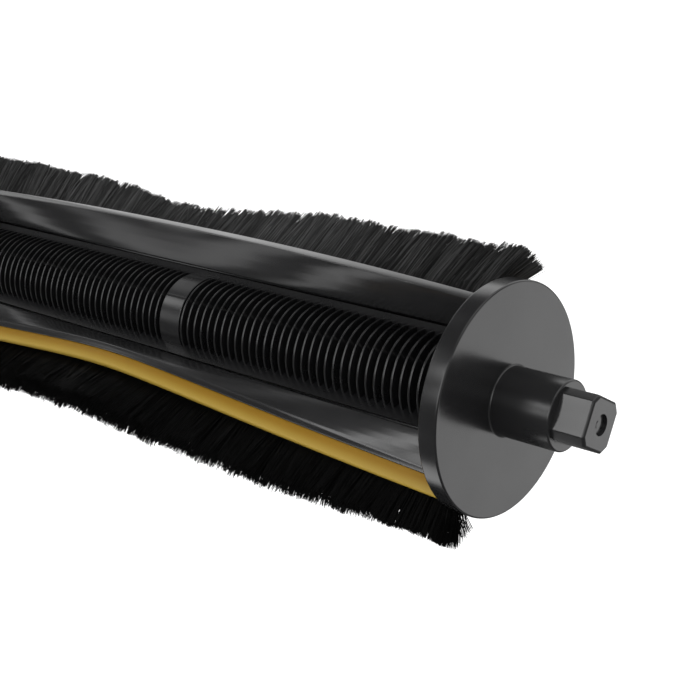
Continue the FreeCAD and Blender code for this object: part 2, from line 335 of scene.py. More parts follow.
for letter, base in BASES.items():
    piece = twisted(f"soft_strip_{letter}", strip, base, STRIP_CORNER)
    carry(piece, "roller", "soft_strip", f"edge_strip_{letter}")

# %% [markdown]
# ## Bristles as rods
#
# A bristle is a thin nylon rod. Blender's hair would be the quick way, but hair is no mesh and can't be
# handed on. So one strand is modelled as a three-sided rod, cut across twice so that it can bend, and
# an array copies it. The copies stand far apart at first, so that each point knows its strand.

# %% Rods
STRANDS = 9000
STRAND_APART = 10.0
BEND_CUTS = (-0.1, 0.25)


def rods():
    """Upright rods in a line, and for each point its rod, its two offsets and its share of the height."""
    bpy.ops.mesh.primitive_cylinder_add(vertices=3, radius=1, depth=1, end_fill_type="NGON")
    piece = bpy.context.object
    bpy.ops.object.mode_set(mode="EDIT")
    for height in BEND_CUTS:
        bpy.ops.mesh.select_all(action="SELECT")
        bpy.ops.mesh.bisect(plane_co=(0, 0, height), plane_no=(0, 0, 1))
    bpy.ops.object.mode_set(mode="OBJECT")
    copied(piece, STRANDS, STRAND_APART)
    local = points_of(piece)
    which = np.rint(local[:, 0] / STRAND_APART).astype(int)
    return piece, which, local[:, 0] - which * STRAND_APART, local[:, 1], local[:, 2] + 0.5


print("each half row has", STRANDS, "rods")

# %% [markdown]
# ## How the strands grow
#
# Real bristles gather in wisps, and wisps in tufts, so their tips are ragged. Even rows of rods would
# look like a comb. Each strand therefore gets its own root, tip, lean, bend and thickness from seeded
# random numbers, some of which it shares with its cluster. Use has worn the rows unevenly: the row at
# the top of the picture leans towards the drive end and stops short of it, and both rows are longer in
# places.
#
# Of a row's habits, `lean` and `splay` are how far the tips lean everywhere and at the drive end, `late`
# is how suddenly that splay comes, and `calm` how tidy the row's end is. `inset` is where it stops short,
# `ragged` how uneven its tips are, and `flank` the share of strands bent down on each side. `tint` is the
# range of the strands' own numbers, which keep the shaded lower row painted dark as painted shade and
# give the lit upper row a painted sheen, and `longer` the extra length at places along the roller.

# %% Habits of the two rows
# Painted light: row a hangs in shade and its tint range keeps its strands painted dark, while row b is
# lit and its range paints many strands with a lighter sheen.
ROWS = {
    "a": {
        "lean": 0.0, "splay": 1.5, "late": 12, "calm": 0.8, "inset": 0.2, "ragged": 0.7,
        "flank": {-1: 0.0, 1: 0.5}, "tint": (0.0, 0.05),
        "longer": ((-120, 0.6), (-95, 0.4), (-75, 1.1), (-55, 1.1), (-40, 0.8), (-30, 0.3), (-14, 0.2)),
    },
    "b": {
        "lean": 2.5, "splay": 4.0, "late": 1, "calm": 0.0, "inset": 9.0, "ragged": 0.7,
        "flank": {-1: 0.0, 1: 0.0}, "tint": (0.2, 1.0),
        "longer": ((-113, 0.2), (-101, -1.1), (-90, -0.2), (-76, 1.8),
                   (-60, 2.0), (-46, 0.6), (-33, 0.4), (-25, 0)),
    },
}
TUFT, WISP, UNEVEN = 4.2, 0.8, 0.3
PULL = {"tuft": 0.16, "wisp": 0.5}
LEAN = {"tuft": 0.4, "wisp": 0.3, "own": 0.35}
FAN = {"tuft": 0.2, "wisp": 0.12, "own": 0.15}
LENGTH = {"tuft": 0.2, "wisp": 0.2, "own": 0.55}


def gathered(draw, root_x, spacing):
    """For every strand the middle of its cluster, and three numbers that the cluster shares."""
    edges = np.arange(START, END + spacing, spacing)
    edges = edges + draw.uniform(-UNEVEN, UNEVEN, len(edges)) * spacing
    member = np.clip(np.searchsorted(edges, root_x) - 1, 0, len(edges) - 2)
    middle = (edges[member] + edges[member + 1]) / 2
    return middle, draw.normal(0, 1, (len(edges), 3))[member]


print("tufts are", TUFT, "mm wide and wisps", WISP, "mm")

# %% [markdown]
# A strand's lean is the row's own, pulled towards the middle of its cluster. A few strays lean anywhere,
# though not beside the drive disc, which keeps them in line. A strand that leans far reaches less far
# out. On one flank of a row some strands are bent down, as a used brush has them.

# %% Growth
ROW_START = 0.3
PRESSED_FROM, PRESSED_INTO = 2.0, 0.3
CALM_LATE = 12
STRAY_SHARE, STRAY_LEAN, STRAY_CLEAR = 0.03, 2.0, 12
OUTWARD = 0.8
TIP_ENDS, TIP_MIDDLE, TIP_SPARE = 22.8, 24.2, 0.15
FAN_ROOT, FAN_TIP = 0.7, 3.8
FLANK_OUT, FLANK_DROP = 2.7, 3.6
LEAN_DROP, LEAN_DROP_POWER = 0.09, 1.5
BEND_ALONG, BEND_ACROSS = 0.5, 0.3
STRAND_RADIUS, THINNEST, THICKEST = 0.085, 0.75, 1.2


def grown(draw, row, side):
    """Where every strand of half a row starts, leans, ends and bends, and how thick it is."""
    last = END - row["inset"]
    root_x = draw.uniform(START + ROW_START, last + PRESSED_FROM, STRANDS)
    root_x = np.minimum(root_x, last - draw.uniform(0, PRESSED_INTO, STRANDS))
    tuft_x, tuft = gathered(draw, root_x, TUFT)
    wisp_x, wisp = gathered(draw, root_x, WISP)

    to_end = np.clip((root_x - MIDDLE) / (last - MIDDLE), 0, 1)
    usual = row["lean"] + row["splay"] * to_end ** row["late"]
    loose = PULL["tuft"] * (tuft_x - root_x) + PULL["wisp"] * (wisp_x - root_x)
    loose = loose + LEAN["tuft"] * tuft[:, 0] + LEAN["wisp"] * wisp[:, 0]
    loose = loose + draw.normal(0, LEAN["own"], STRANDS)
    lean = usual + loose * (1 - row["calm"] * to_end**CALM_LATE)
    stray = (draw.random(STRANDS) < STRAY_SHARE) & (root_x < END - STRAY_CLEAR)
    lean = lean + np.where(stray, draw.normal(0, STRAY_LEAN, STRANDS), 0)

    across = side * draw.uniform(0, 1, STRANDS) ** OUTWARD
    flank = np.where(draw.random(STRANDS) < row["flank"][side], draw.random(STRANDS), 0)
    tip_v = FAN_TIP * across + FAN["tuft"] * tuft[:, 1] + FAN["wisp"] * wisp[:, 1]
    tip_v = tip_v + draw.normal(0, FAN["own"], STRANDS)
    tip_v = np.where(flank > 0, side * (FAN_TIP + FLANK_OUT * flank), tip_v)

    tip_r = TIP_ENDS + (TIP_MIDDLE - TIP_ENDS) * turn_at(root_x) / V_TURN + TIP_SPARE
    uneven = LENGTH["tuft"] * tuft[:, 2] + LENGTH["wisp"] * wisp[:, 2]
    uneven = uneven - np.abs(draw.normal(0, LENGTH["own"], STRANDS))
    tip_r = tip_r + row["ragged"] * uneven + np.interp(root_x + lean, *zip(*row["longer"]))
    tip_r = tip_r - LEAN_DROP * np.maximum(lean - usual, 0) ** LEAN_DROP_POWER - FLANK_DROP * flank
    return {
        "root_x": root_x, "root_v": FAN_ROOT * across, "lean": lean,
        "tip_u": np.sqrt(tip_r**2 - tip_v**2), "tip_v": tip_v,
        "bend_x": draw.normal(0, BEND_ALONG, STRANDS), "bend_v": draw.normal(0, BEND_ACROSS, STRANDS),
        "thick": STRAND_RADIUS * draw.uniform(THINNEST, THICKEST, STRANDS),
    }


print("strands reach", TIP_ENDS, "mm at the ends and", TIP_MIDDLE, "mm in the middle")

# %% [markdown]
# Now the rods are bent along those paths. Each row is made as two halves, one on each side of its
# middle, which keeps every mesh small enough to hand on whole. Below the discs' rims the strands stay
# between the discs, and above them they may hang over. A number on every strand lets the material tint
# them one by one with painted sheen and painted shade, which an object's coordinates alone could not
# do.

# %% Bristles
BACKING_THICK = 1.35
BACKING_TOP = TROUGH_FLOOR + BACKING_THICK
TAPER = 0.45
LEAN_POWER = 1.4
DISC_RADIUS = 18.0
RIM_CLEAR, DISC_CLEAR = 1.0, 0.1
OVER_FAR_DISC, OVER_DRIVE_DISC = 2.4, 2.6
STRAND_SMOOTH = 70
FIRST_SEED = 11


def strands(letter, half, base, seed, side):
    """One half of a bristle row."""
    piece, which, side_x, side_v, rise = rods()
    draw = np.random.default_rng(seed)
    row = ROWS[letter]
    own = {name: numbers[which] for name, numbers in grown(draw, row, side).items()}
    taper = own["thick"] * (1 - TAPER * rise**2)
    swing = rise * (1 - rise)
    u = BACKING_TOP + (own["tip_u"] - BACKING_TOP) * rise
    v = own["root_v"] + (own["tip_v"] - own["root_v"]) * rise + own["bend_v"] * swing + side_v * taper
    x = own["root_x"] + own["lean"] * rise**LEAN_POWER + own["bend_x"] * swing + side_x * taper
    between_discs = np.clip(x, START + DISC_CLEAR, END - DISC_CLEAR)
    over_discs = np.clip(x, START - OVER_FAR_DISC, END + OVER_DRIVE_DISC)
    x = np.where(u < DISC_RADIUS + RIM_CLEAR, between_discs, over_discs)
    put_points(piece, in_space(x, u, v, base))
    # Painted light: each strand's number sets how much painted sheen its colour gets, and the shaded
    # row's numbers stay low.
    shade = piece.data.attributes.new("strand", "FLOAT", "POINT")
    shade.data.foreach_set("value", draw.uniform(*row["tint"], STRANDS)[which].astype(np.float32))
    return settle(piece, f"bristles_{letter}_{half}", STRAND_SMOOTH)


for seed, (letter, base) in enumerate(BASES.items(), start=FIRST_SEED):
    for side, half in ((-1, "lead"), (1, "trail")):
        piece = strands(letter, half, base, 10 * seed + side, side)
        carry(piece, "roller", "bristles", f"bristle_row_{letter}")

# %% [markdown]
# ## The ribs and the collar
#
# Fine ribs stiffen the spine, and a smooth collar parts them near the middle. The CAD core stays, and
# each of its ribs is covered by a thin round disc with eased rims, because the rims catch the light. One
# disc is made and copied by an array, once for each side of the collar, which is a wider disc.

# %% Ribs
RIB_RADIUS, RIB_THICK, RIB_PITCH = 7.8, 0.42, 1.69
RIB_PROUD, RIB_COVER = 0.06, 0.04
COLLAR_WIDTH, COLLAR_GAP, COLLAR_OFFSET = 4.5, 1.15, 8.0
COLLAR_STEP, COLLAR_PROUD = 0.55, 0.04
RIM_EASE, RIM_SIDES = 0.15, 128


def round_bar(radius, length, place, sides, y=0.0, z=0.0):
    """A cylinder along the roller."""
    bpy.ops.mesh.primitive_cylinder_add(
        vertices=sides, radius=radius * MM, depth=length * MM,
        location=(place * MM, y * MM, z * MM), rotation=(0, math.pi / 2, 0))
    bpy.ops.object.transform_apply(location=True, rotation=True, scale=True)
    return bpy.context.object


def rim(radius, thickness, place):
    """A thin disc across the roller with eased rims."""
    piece = round_bar(radius, thickness, place, RIM_SIDES)
    ease(piece, RIM_EASE)
    return piece


collar = MIDDLE + COLLAR_OFFSET
first = COLLAR_WIDTH / 2 + COLLAR_GAP
rims = [rim(RIB_RADIUS + COLLAR_PROUD, COLLAR_WIDTH + COLLAR_STEP, collar + COLLAR_STEP / 2)]
for way in (1, -1):
    count = int((HALF - way * COLLAR_OFFSET - first - RIB_PITCH / 2) / RIB_PITCH) + 1
    rib = rim(RIB_RADIUS + RIB_PROUD, RIB_THICK + RIB_COVER, collar + way * first)
    copied(rib, count, way * RIB_PITCH * MM)
    rims.append(rib)
    print(count, "ribs on one side of the collar")
ribs = settle(joined(*rims), "rib_rims", flat=True)
carry(ribs, "roller", "core_plastic")

# %% [markdown]
# ## The drive end
#
# The drive end is one moulding: a disc, a boss, and a square that the motor turns. A cylinder is the
# disc. Its outer face is inset and pulled out into the boss, so that no seam runs between them, and then
# all sharp edges are eased at once.

# %% Disc and boss
DISC_THICK = 3.15
BOSS_RADIUS, BOSS_LENGTH = 5.35, 10.0
CAP_EASE, CAP_EASE_STEPS, CAP_SIDES = 0.3, 4, 192
FACES_END = 0.9


def choose(piece, kind, test):
    """Goes to edit mode with only the edges or polygons selected that pass a test."""
    bpy.ops.object.mode_set(mode="EDIT")
    bpy.context.tool_settings.mesh_select_mode = (False, kind == "edges", kind == "polygons")
    bpy.ops.mesh.select_all(action="DESELECT")
    bpy.ops.object.mode_set(mode="OBJECT")
    for item in getattr(piece.data, kind):
        item.select = test(item)
    bpy.ops.object.mode_set(mode="EDIT")


drive = round_bar(DISC_RADIUS, DISC_THICK, -(BOSS_LENGTH + DISC_THICK / 2), CAP_SIDES)
choose(drive, "polygons", lambda face: face.normal.x > FACES_END)
bpy.ops.mesh.inset(thickness=(DISC_RADIUS - BOSS_RADIUS) * MM)
bpy.ops.mesh.extrude_region_move(TRANSFORM_OT_translate={"value": (BOSS_LENGTH * MM, 0, 0)})
bpy.ops.object.mode_set(mode="OBJECT")
ease(drive, CAP_EASE, CAP_EASE_STEPS)
print("disc and boss:", len(drive.data.polygons), "faces")

# %% [markdown]
# The drive square is a cube with its four long edges cut off flat, so that it slips into its socket. Its
# end is extruded once more and drawn in for the narrow chamfer round it. A bevel modifier could cut the
# edges too, but it would treat all of them alike. Only the last fine easing is left to one.

# %% Drive square
SQUARE, SQUARE_LENGTH, SQUARE_ROOT = 7.66, 5.35, 0.4
SQUARE_CUT, SQUARE_CHAMFER = 1.155, 0.32
SQUARE_EASE, SQUARE_SHARP = 0.09, 20
KEY_ANGLE, SQUARE_TWIST = 145.5, 7.3
SQUARE_ANGLE = KEY_ANGLE + SQUARE_TWIST

shoulder = SQUARE_LENGTH - SQUARE_CHAMFER
bpy.ops.mesh.primitive_cube_add(size=1, location=((shoulder - SQUARE_ROOT) / 2 * MM, 0, 0))
square = bpy.context.object
square.dimensions = ((shoulder + SQUARE_ROOT) * MM, SQUARE * MM, SQUARE * MM)
bpy.ops.object.transform_apply(location=True, rotation=False, scale=True)


def runs_along(edge):
    """Whether an edge of the square runs along the roller."""
    a, b = (square.data.vertices[n].co for n in edge.vertices)
    return abs(a.x - b.x) > MM


choose(square, "edges", runs_along)
bpy.ops.mesh.bevel(offset=SQUARE_CUT * MM, segments=1)
choose(square, "polygons", lambda face: face.normal.x > FACES_END)
bpy.ops.mesh.extrude_region_move(TRANSFORM_OT_translate={"value": (SQUARE_CHAMFER * MM, 0, 0)})
drawn_in = 1 - 2 * SQUARE_CHAMFER / SQUARE
bpy.ops.transform.resize(value=(1, drawn_in, drawn_in), center_override=(0, 0, 0))
bpy.ops.object.mode_set(mode="OBJECT")
ease(square, SQUARE_EASE, sharp=SQUARE_SHARP)
bpy.ops.object.mode_set(mode="EDIT")
bpy.ops.mesh.select_all(action="SELECT")
bpy.ops.transform.rotate(value=math.radians(-SQUARE_ANGLE), orient_axis="X", center_override=(0, 0, 0))
bpy.ops.object.mode_set(mode="OBJECT")
print("drive square:", len(square.data.polygons), "faces")

# %% [markdown]
# The square's end has a round dimple with the small stub where the plastic was let in. The dimple is cut
# with a boolean, which leaves a crisp rim. Behind the disc a flat key goes into the core. All of it is
# joined, because it is one moulding.

# %% Dimple, gate and key
DIMPLE_RADIUS, DIMPLE_DEPTH, DIMPLE_SIDES = 1.6, 0.5, 64
GATE_RADIUS, GATE_LENGTH, GATE_SIDES = 0.5, 0.3, 32
GATE_SUNK, GATE_Y, GATE_Z = 0.42, -0.45, 0.1
KEY = (7.0, 3.2, 11.0)
CAP_SMOOTH = 40

dimple = round_bar(DIMPLE_RADIUS, 2 * DIMPLE_DEPTH, SQUARE_LENGTH, DIMPLE_SIDES)
modify(square, "BOOLEAN", object=dimple, operation="DIFFERENCE", solver="EXACT")
bpy.data.objects.remove(dimple)
gate = round_bar(GATE_RADIUS, GATE_LENGTH, SQUARE_LENGTH - GATE_SUNK, GATE_SIDES, GATE_Y, GATE_Z)
key_middle = -(BOSS_LENGTH + DISC_THICK + KEY[0] / 2)
bpy.ops.mesh.primitive_cube_add(size=1, location=(key_middle * MM, 0, 0))
key = bpy.context.object
key.dimensions = tuple(side * MM for side in KEY)
key.rotation_euler = (math.radians(KEY_ANGLE), 0, 0)
settle(joined(drive, square, gate, key), "drive_cap", CAP_SMOOTH, flat=True)
carry(drive, "roller", "cap_plastic", "drive_end_cap")

# %% [markdown]
# ## The far end
#
# The far end turns in a bearing: a plain disc, a pin, a bush and a holder. They keep their CAD shape.
# Copies of them get eased edges, because no moulded or turned edge is truly sharp. A CAD mesh is loose
# triangles, so a copy is merged and its flat faces are made whole before the bevel.

# %% Far end
FAR_MERGE, FAR_FLAT, FAR_SHARP = 1e-6, 0.5, 40


def eased(node, name, width, slot, body):
    """A copy of a CAD node with its sharp edges eased."""
    piece = nodes[node].copy()
    piece.data = nodes[node].data.copy()
    piece.parent = None
    for label in list(piece.keys()):
        del piece[label]
    bpy.context.scene.collection.objects.link(piece)
    only(piece)
    bpy.ops.object.mode_set(mode="EDIT")
    bpy.ops.mesh.select_all(action="SELECT")
    bpy.ops.mesh.remove_doubles(threshold=FAR_MERGE)
    bpy.ops.mesh.dissolve_limited(angle_limit=math.radians(FAR_FLAT))
    bpy.ops.object.mode_set(mode="OBJECT")
    ease(piece, width, sharp=FAR_SHARP)
    settle(piece, name, CAP_SMOOTH, flat=True)
    carry(piece, body, slot, node)


eased("idle_end_cap", "idle_cap", width=0.2, slot="cap_plastic", body="roller")
eased("axle_pin", "pin", width=0.15, slot="steel", body="roller")
eased("bearing_bush", "bush", width=0.12, slot="bronze", body="bearing_cap")
eased("bearing_holder", "holder", width=0.3, slot="holder_plastic", body="bearing_cap")

# %% [markdown]
# ## Node maths
#
# A finish is a sum of values from nodes: a tint here, a duller patch there. Linking Math nodes one by
# one is hard to read, so this small class wraps a socket and the sums read as sums. Colours go through
# a Mix node, because a Math node would turn them grey.

# %% Wire
BUMP_HEIGHT = 0.1 * MM


class Wire:
    """A value on a node socket, with plain arithmetic."""

    def __init__(self, tree, socket):
        self.tree = tree
        self.socket = socket

    def node(self, kind, out=0, settings=None, **inputs):
        """Adds a node of any kind and gives one of its outputs. Inputs go by name, or by number as i0."""
        made = self.tree.nodes.new(kind)
        for key, setting in (settings or {}).items():
            setattr(made, key, setting)
        for key, given in inputs.items():
            number = int(key[1:]) if key[1:].isdigit() else key.replace("_", " ")
            plug(self.tree, made.inputs[number], given)
        return Wire(self.tree, made.outputs[out])

    def maths(self, operation, other=None, clamp=False, flip=False):
        """A Math node of this value, or of this and another."""
        pair = (other, self) if flip else (self, other)
        settings = {"operation": operation, "use_clamp": clamp}
        inputs = {f"i{n}": given for n, given in enumerate(pair) if given is not None}
        return self.node("ShaderNodeMath", settings=settings, **inputs)

    def __add__(self, other):
        return self.maths("ADD", other)

    def __sub__(self, other):
        return self.maths("SUBTRACT", other)

    def __rsub__(self, other):
        return self.maths("SUBTRACT", other, flip=True)

    def __mul__(self, other):
        return self.maths("MULTIPLY", other)

    def __pow__(self, other):
        return self.maths("POWER", other)

    __radd__ = __add__
    __rmul__ = __mul__

    def between(self, low, high):
        """Nothing below low, one above high, and a smooth step between."""
        return self.node("ShaderNodeMapRange", settings={"interpolation_type": "SMOOTHSTEP"},
                         i0=self, i1=low, i2=high)

    def split(self):
        """The three parts of a vector."""
        parts = self.node("ShaderNodeSeparateXYZ", i0=self).socket.node.outputs
        return [Wire(self.tree, part) for part in parts]

    def noise(self, scale, detail=2.0, stretch=(1, 1, 1)):
        """Noise over this vector, stretched along its axes."""
        moved = self.node("ShaderNodeVectorMath", settings={"operation": "MULTIPLY"},
                          i0=self, i1=stretch)
        return self.node("ShaderNodeTexNoise", Vector=moved, Scale=scale, Detail=detail)

    def blend(self, first, second):
        """A colour between two, by this factor."""
        return self.node("ShaderNodeMix", out=2, settings={"data_type": "RGBA"},
                         i0=self, i6=first, i7=second)

    def bump(self, strength):
        """A normal bent by this height."""
        return self.node("ShaderNodeBump", Height=self, Strength=strength, Distance=BUMP_HEIGHT)


def plug(tree, socket, given):
    """Links a wire to a socket, or sets the socket's own value."""
    if isinstance(given, Wire):
        tree.links.new(given.socket, socket)
        return
    if hasattr(given, "__len__") and socket.type == "RGBA" and len(given) == 3:
        given = (*given, 1.0)
    socket.default_value = given


def feed(tree, shader, **values):
    """Gives the shader's sockets wires or plain values, by name."""
    for key, given in values.items():
        plug(tree, shader.inputs[key.replace("_", " ")], given)


def new_material(name, **fixed):
    """A material with its shader, and the object's own coordinates."""
    material = bpy.data.materials.new(name)
    material.use_nodes = True
    tree = material.node_tree
    shader = tree.nodes["Principled BSDF"]
    feed(tree, shader, **fixed)
    coordinates = tree.nodes.new("ShaderNodeTexCoord")
    print("material", name)
    return material, tree, shader, Wire(tree, coordinates.outputs["Object"])


def from_axis(y, z):
    """The distance from the roller's axis."""
    return (y * y + z * z).maths("SQRT")


print("node tools ready")

# %% [markdown]
# ## Plastics
#
# All the hard plastic is black. What tells the pieces apart is their finish: the channels are polished
# with faint flow marks along the roller, the holder is matt, and the end caps are satin with a fine
# spark-eroded grain and a boss that is rubbed a little duller. One colour and one roughness would look
# like paint, so both wander a little over each piece.

# %% Plastics
PLASTIC_IOR = 1.5
PATCH_SCALE, PATCH_DETAIL = 90, 3
PATCH_FROM, PATCH_TO = 0.3, 0.7
FLOW_SCALE, FLOW_STRETCH, FLOW_DULL = 500, (0.05, 1, 1), 0.05
PLASTIC_BUMP = 0.35
SQUARE_FOOT = 0.2
BOSS_MARGIN, BOSS_FADE = 0.15, 0.45


def black(level, cool=0.0005):
    """A near black with a trace of blue."""
    return level, level, level + cool


def boss_mask(place):
    """One on the boss, and nothing on the disc and the drive square."""
    x, y, z = place.split()
    past_boss = from_axis(y, z).between((BOSS_RADIUS + BOSS_MARGIN) * MM, (BOSS_RADIUS + BOSS_FADE) * MM)
    on_square = (x + SQUARE_FOOT * MM).maths("SIGN")
    return 1 - on_square.maths("MAXIMUM", past_boss, clamp=True)


def black_plastic(name, dark, light, smooth, dull, grain, grain_scale, flow, rubbed=0.0):
    """Black moulded plastic: tint, patchy gloss, fine grain and long flow marks."""
    material, tree, shader, place = new_material(name, IOR=PLASTIC_IOR)
    patches = place.noise(PATCH_SCALE, PATCH_DETAIL)
    streaks = place.noise(FLOW_SCALE, stretch=FLOW_STRETCH)
    roughness = smooth + (dull - smooth) * patches.between(PATCH_FROM, PATCH_TO) + FLOW_DULL * streaks
    if rubbed:
        roughness = roughness + rubbed * boss_mask(place)
    height = place.noise(grain_scale) * grain + streaks * flow
    feed(tree, shader, Base_Color=patches.blend(dark, light), Roughness=roughness,
         Normal=height.bump(PLASTIC_BUMP))
    return material


gloss_black = black_plastic("gloss_black", black(0.012), black(0.017), smooth=0.16, dull=0.22,
                            grain=0.10, grain_scale=2600, flow=0.5)
satin_black = black_plastic("satin_black", black(0.010), black(0.014), smooth=0.15, dull=0.19,
                            grain=0.10, grain_scale=5200, flow=0.1, rubbed=0.06)
holder_black = black_plastic("holder_black", black(0.016, 0.001), black(0.022, 0.001), smooth=0.38,
                             dull=0.46, grain=0.6, grain_scale=4200, flow=0.0)

# %% [markdown]
# The core is moulded in two halves, and carries their trace: a parting line runs along the roller across
# every rib, as a thin broken mark. Modelled, it would be too fine for the mesh, so it is a band at one
# angle round the axis, darker, duller and a little lower, broken up by noise.

# %% Core
SEAM_ANGLE, SEAM_HALF, SEAM_FADE = 48.0, 0.9, 2.0
SEAM_DULL, SEAM_DEPTH = 0.6, 0.6
SEAM_COLOUR = (0.003, 0.003, 0.003)
BREAK_SCALE, BREAK_FROM, BREAK_TO = 1400, 0.42, 0.55
CORE_PATCH_SCALE, CORE_ROUGH, CORE_ROUGH_SPREAD = 140, 0.24, 0.08
CORE_GRAIN_SCALE, CORE_GRAIN, CORE_BUMP = 3800, 0.2, 0.3
core_black, tree, shader, place = new_material("core_black", IOR=PLASTIC_IOR)
x, y, z = place.split()
degrees = y.maths("ARCTAN2", z) * -math.degrees(1)
line = 1 - (degrees - SEAM_ANGLE).maths("ABSOLUTE").between(SEAM_HALF, SEAM_FADE)
broken = place.noise(BREAK_SCALE).between(BREAK_FROM, BREAK_TO)
patches = place.noise(CORE_PATCH_SCALE, PATCH_DETAIL)
plain = patches.blend(black(0.006), black(0.009))
feed(tree, shader, Base_Color=(line * broken).blend(plain, SEAM_COLOUR),
     Roughness=CORE_ROUGH + CORE_ROUGH_SPREAD * patches + SEAM_DULL * line,
     Normal=(place.noise(CORE_GRAIN_SCALE) * CORE_GRAIN - line * SEAM_DEPTH).bump(CORE_BUMP))

# %% [markdown]
# ## The strip's rubber
#
# The strips are a soft mustard rubber with a dull sheen. Their colour carries painted light: paler
# towards the tip, and darker at the root where the ridge shades them, so it follows the distance from the
# axis.
# Faint streaks run along them from the mould.

# %% Strip rubber
TIP_FROM, TIP_TO, TIP_LIGHT_SHARE = 15.8, 17.6, 0.6
MUSTARD, MUSTARD_LIGHT, MUSTARD_LIT_TIP = (0.24, 0.124, 0.005), (0.28, 0.149, 0.008), (0.43, 0.31, 0.055)
RUBBER_IOR, RUBBER_SHEEN = 1.47, 0.3
MOTTLE_SCALE, MOTTLE_DETAIL = 160, 4
RUBBER_ROUGH, RUBBER_ROUGH_SPREAD = 0.42, 0.12
STREAK_SCALE, STREAK_STRETCH, STREAK_HEIGHT = 420, (0.06, 1, 1), 0.5
RUBBER_GRAIN_SCALE, RUBBER_GRAIN, RUBBER_BUMP = 3000, 0.3, 0.3
soft_mustard, tree, shader, place = new_material(
    "soft_mustard", IOR=RUBBER_IOR, Specular_IOR_Level=RUBBER_SHEEN)
x, y, z = place.split()
# Painted light: the colour turns paler towards the tip, with painted shade at the root below the ridge.
tip = from_axis(y, z).between(TIP_FROM * MM, TIP_TO * MM)
mottle = place.noise(MOTTLE_SCALE, MOTTLE_DETAIL)
streak = place.noise(STREAK_SCALE, stretch=STREAK_STRETCH)
grain = place.noise(RUBBER_GRAIN_SCALE)
feed(tree, shader,
     Base_Color=(tip * TIP_LIGHT_SHARE).blend(mottle.blend(MUSTARD, MUSTARD_LIGHT), MUSTARD_LIT_TIP),
     Roughness=RUBBER_ROUGH + RUBBER_ROUGH_SPREAD * mottle,
     Normal=(streak * STREAK_HEIGHT + grain * RUBBER_GRAIN).bump(RUBBER_BUMP))

# %% [markdown]
# ## The bristles' nylon
#
# The bristles are black nylon. Some strands are lighter, which is painted sheen read from the number
# that each strand carries, and a faint noise of dust varies the dark of the others. The row that faces up
# is glossier than the one in the shade below, so there are two copies of one finish, a lit one and a
# shaded one.

# %% Strand nylon
STRAND_DARK, STRAND_DUST, STRAND_PAINTED_SHEEN = (0.003,) * 3, (0.006,) * 3, (0.12,) * 3
FEW_LIGHT = 2.4
NYLON_IOR = 1.53
DUST_SCALE, DUST_DETAIL = 260, 3
STRAND_ROUGH, STRAND_ROUGH_SPREAD = 0.36, 0.2


def strand_finish(name, gloss):
    """Black nylon, with painted sheen making some strands lighter."""
    material, tree, shader, place = new_material(name, IOR=NYLON_IOR, Specular_IOR_Level=gloss)
    own = place.node("ShaderNodeAttribute", out="Fac", settings={"attribute_name": "strand"})
    dusty = place.noise(DUST_SCALE, DUST_DETAIL).blend(STRAND_DARK, STRAND_DUST)
    # Painted light: the strand's number blends in the painted sheen colour.
    feed(tree, shader, Base_Color=(own**FEW_LIGHT).blend(dusty, STRAND_PAINTED_SHEEN),
         Roughness=STRAND_ROUGH + STRAND_ROUGH_SPREAD * own)
    return material


# Painted light: one nylon in two copies, the lit upper row with its sheen and the shaded lower row with
# its sheen turned down.
strand_lit = strand_finish("strand_lit", gloss=0.5)
strand_shaded = strand_finish("strand_shaded", gloss=0.03)

# %% [markdown]
# ## Metals
#
# The pin is ground steel and the bush sintered bronze. A lathe leaves lines round the axis and sintering
# leaves pores. Both are too fine to model, so they are noise in the normal, stretched for the lines and
# cut off at a level for the pores.

# %% Metals
METAL_BUMP = 0.4
TURNING_SCALE, TURNING_STRETCH = 2400, (1, 0.05, 0.05)
PORE_SCALE, PORE_FROM, PORE_TO = 2600, 0.35, 0.6
WEAR_SCALE, METAL_DETAIL = 180, 3


def metal(name, dark, light, smooth, dull, lines, pores):
    """Metal with turning lines round the axis, or pores."""
    material, tree, shader, place = new_material(name, Metallic=1.0)
    turning = place.noise(TURNING_SCALE, stretch=TURNING_STRETCH)
    pitted = place.noise(PORE_SCALE, METAL_DETAIL).between(PORE_FROM, PORE_TO)
    worn = place.noise(WEAR_SCALE, METAL_DETAIL)
    feed(tree, shader, Base_Color=worn.blend(dark, light),
         Roughness=smooth + (dull - smooth) * worn,
         Normal=(turning * lines + pitted * pores).bump(METAL_BUMP))
    return material


ground_steel = metal("ground_steel", (0.44, 0.44, 0.46), (0.60, 0.60, 0.62),
                     smooth=0.18, dull=0.34, lines=0.8, pores=0.0)
sintered_bronze = metal("sintered_bronze", (0.42, 0.25, 0.11), (0.58, 0.37, 0.18),
                        smooth=0.34, dull=0.52, lines=0.1, pores=0.8)

# %% [markdown]
# ## Dressing
#
# Every new piece gets its finish here, and so do the CAD nodes that stay: the core, and the backing
# strips that hold the bristles' roots. One table shows at a glance what is made of what.

# %% Dress every piece
DRESS = {
    gloss_black: ("channel_a", "channel_b"),
    soft_mustard: ("soft_strip_a", "soft_strip_b"),
    strand_shaded: ("bristles_a_lead", "bristles_a_trail"),
    strand_lit: ("bristles_b_lead", "bristles_b_trail"),
    core_black: ("rib_rims", "rib_core"),
    satin_black: ("drive_cap", "idle_cap"),
    holder_black: ("bristle_backing_a", "bristle_backing_b", "holder"),
    ground_steel: ("pin",),
    sintered_bronze: ("bush",),
}
for material, names in DRESS.items():
    for name in names:
        dressed = bpy.data.objects[name].data.materials
        dressed.clear()
        dressed.append(material)
    print(material.name, "on", ", ".join(names))

# %% [markdown]
# ## The floor
#
# The floor is plain and pale and lies well below the roller, which seems to float on white. To the
# camera it is lifted to white by a part of emission, so that no extra light falls on the object. The
# gloss should mirror the room and not the floor, so the floor is clear to reflected rays.

